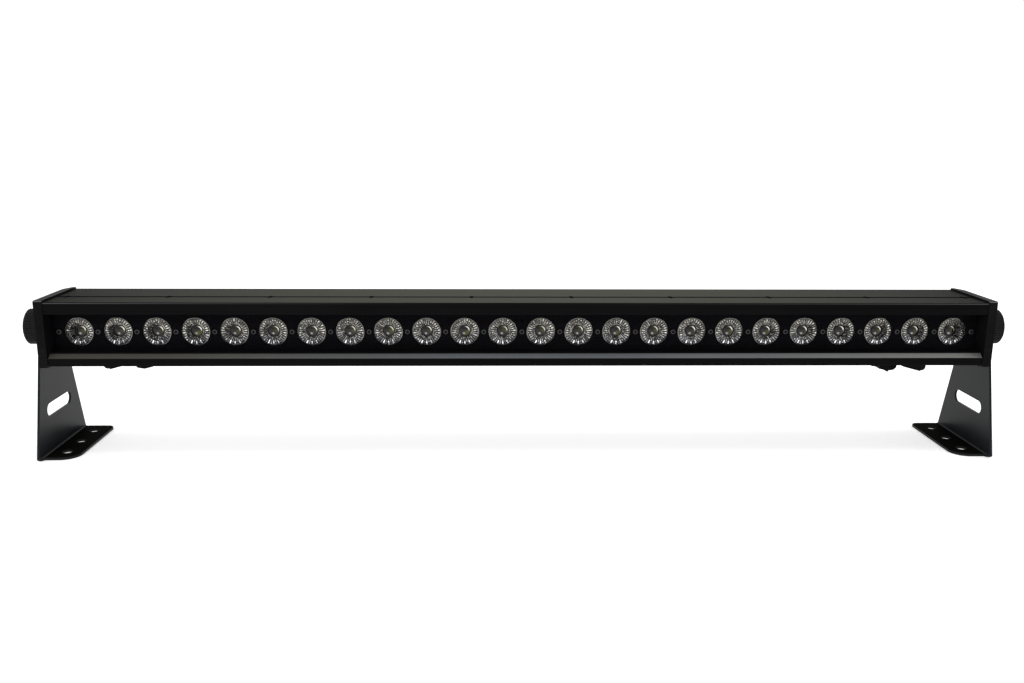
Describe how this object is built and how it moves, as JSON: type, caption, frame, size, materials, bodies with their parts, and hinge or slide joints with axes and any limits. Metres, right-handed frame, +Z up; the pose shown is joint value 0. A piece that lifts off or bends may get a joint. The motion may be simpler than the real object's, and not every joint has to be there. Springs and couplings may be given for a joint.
{
  "type": "led strip batten",
  "caption": "Long linear floodlight: a black extruded bar with a recessed row of clear round lenses, standing on two swinging L brackets clamped by ribbed hand knobs.",
  "frame": {"origin": "on the floor, under the middle of the knob axis", "axes": "+X along the batten, -Y the side that shines, +Z up"},
  "size_m": [1.04, 0.1195, 0.1672],
  "materials": {
    "black_anodised": "black anodised, fine lengthwise grain",
    "cast_plate": "black powder coat on cast aluminium",
    "rubber": "matte black rubber",
    "black_screw": "black oxide",
    "lens_panel": "black anodised sheet",
    "lens": "clear moulded acrylic",
    "emitter": "phosphor under a clear dome",
    "white_board": "white solder mask on an aluminium board",
    "plain_aluminium": "plain sheet",
    "green_board": "green solder mask",
    "panel_sheet": "black anodised sheet",
    "smoked_window": "smoked acrylic",
    "button_rubber": "dark grey silicone",
    "socket_blue": "blue moulded plastic",
    "socket_grey": "light grey moulded plastic",
    "socket_black": "black moulded plastic",
    "cover_plastic": "black moulded plastic",
    "powder_coat": "satin black powder coat",
    "knob_plastic": "matte black moulded plastic",
    "zinc_steel": "zinc plated"
  },
  "bodies": {
    "housing": {"front_housing": "black_anodised", "rear_housing": "black_anodised", "end_plate_left": "cast_plate", "end_plate_right": "cast_plate", "end_gaskets": "rubber", "casing_screws": "black_screw", "seam_screws": "black_screw", "lens_panel_screws": "black_screw", "lens_panel": "lens_panel", "lens_01": "lens", "lens_02": "lens", "lens_03": "lens", "lens_04": "lens", "lens_05": "lens", "lens_06": "lens", "lens_07": "lens", "lens_08": "lens", "lens_09": "lens", "lens_10": "lens", "lens_11": "lens", "lens_12": "lens", "lens_13": "lens", "lens_14": "lens", "lens_15": "lens", "lens_16": "lens", "lens_17": "lens", "lens_18": "lens", "lens_19": "lens", "lens_20": "lens", "lens_21": "lens", "lens_22": "lens", "lens_23": "lens", "lens_24": "lens", "led_emitters": "emitter", "led_boards": "white_board", "power_supply": "plain_aluminium", "control_board": "green_board", "control_panel": "panel_sheet", "display_window": "smoked_window", "power_inlet": "socket_blue", "power_outlet": "socket_grey", "data_inlet": "socket_black", "data_outlet": "socket_black", "friction_pad_left": "rubber", "friction_pad_right": "rubber", "pivot_studs": "zinc_steel"},
    "bracket_left": {"bracket_left": "powder_coat"},
    "knob_washer_left": {"knob_washer_left": "zinc_steel"},
    "knob_left": {"knob_left": "knob_plastic"},
    "bracket_right": {"bracket_right": "powder_coat"},
    "knob_washer_right": {"knob_washer_right": "zinc_steel"},
    "knob_right": {"knob_right": "knob_plastic"},
    "button_menu": {"button_menu": "button_rubber"},
    "button_up": {"button_up": "button_rubber"},
    "button_down": {"button_down": "button_rubber"},
    "button_enter": {"button_enter": "button_rubber"},
    "power_inlet_cover": {"power_inlet_cover": "cover_plastic"},
    "power_outlet_cover": {"power_outlet_cover": "cover_plastic"},
    "data_inlet_cover": {"data_inlet_cover": "cover_plastic"},
    "data_outlet_cover": {"data_outlet_cover": "cover_plastic"}
  },
  "joints": [
    {"name": "bracket_left_swing", "type": "hinge", "parent": "housing", "child": "bracket_left", "pos_m": [-0.49875, 0, 0.132], "axis": [1, 0, 0], "continuous": true},
    {"name": "knob_left_travel", "type": "slide", "parent": "housing", "child": "knob_washer_left", "axis": [-1, 0, 0], "range_m": [0, 0.0025]},
    {"name": "knob_left_turn", "type": "hinge", "parent": "knob_washer_left", "child": "knob_left", "pos_m": [-0.509, 0, 0.132], "axis": [-1, 0, 0], "range_deg": [0, 720]},
    {"name": "bracket_right_swing", "type": "hinge", "parent": "housing", "child": "bracket_right", "pos_m": [0.49875, 0, 0.132], "axis": [1, 0, 0], "continuous": true},
    {"name": "knob_right_travel", "type": "slide", "parent": "housing", "child": "knob_washer_right", "axis": [1, 0, 0], "range_m": [0, 0.0025]},
    {"name": "knob_right_turn", "type": "hinge", "parent": "knob_washer_right", "child": "knob_right", "pos_m": [0.509, 0, 0.132], "axis": [1, 0, 0], "range_deg": [0, 720]},
    {"name": "button_menu_press", "type": "slide", "parent": "housing", "child": "button_menu", "axis": [0, -1, 0], "range_m": [0, 0.0008], "stiffness_N_per_m": 600, "springref_m": -0.0008},
    {"name": "button_up_press", "type": "slide", "parent": "housing", "child": "button_up", "axis": [0, -1, 0], "range_m": [0, 0.0008], "stiffness_N_per_m": 600, "springref_m": -0.0008},
    {"name": "button_down_press", "type": "slide", "parent": "housing", "child": "button_down", "axis": [0, -1, 0], "range_m": [0, 0.0008], "stiffness_N_per_m": 600, "springref_m": -0.0008},
    {"name": "button_enter_press", "type": "slide", "parent": "housing", "child": "button_enter", "axis": [0, -1, 0], "range_m": [0, 0.0008], "stiffness_N_per_m": 600, "springref_m": -0.0008},
    {"name": "power_inlet_cover_open", "type": "hinge", "parent": "housing", "child": "power_inlet_cover", "pos_m": [0.447, 0.014, 0.084], "axis": [0, -1, 0], "range_deg": [0, 110], "stiffness_Nm_per_rad": 0.012, "springref_deg": -34.38},
    {"name": "power_outlet_cover_open", "type": "hinge", "parent": "housing", "child": "power_outlet_cover", "pos_m": [-0.447, 0.014, 0.0873], "axis": [0, 1, 0], "range_deg": [0, 110], "stiffness_Nm_per_rad": 0.012, "springref_deg": -34.38},
    {"name": "data_inlet_cover_open", "type": "hinge", "parent": "housing", "child": "data_inlet_cover", "pos_m": [0.3905, 0.014, 0.0877], "axis": [0, 1, 0], "range_deg": [0, 110], "stiffness_Nm_per_rad": 0.012, "springref_deg": -34.38},
    {"name": "data_outlet_cover_open", "type": "hinge", "parent": "housing", "child": "data_outlet_cover", "pos_m": [-0.3905, 0.014, 0.091], "axis": [0, -1, 0], "range_deg": [0, 110], "stiffness_Nm_per_rad": 0.012, "springref_deg": -34.38}
  ],
  "couplings": [
    {"joint": "knob_left_turn", "follows": "knob_left_travel", "rad_per_m": 5026.5},
    {"joint": "knob_right_turn", "follows": "knob_right_travel", "rad_per_m": 5026.5}
  ]
}
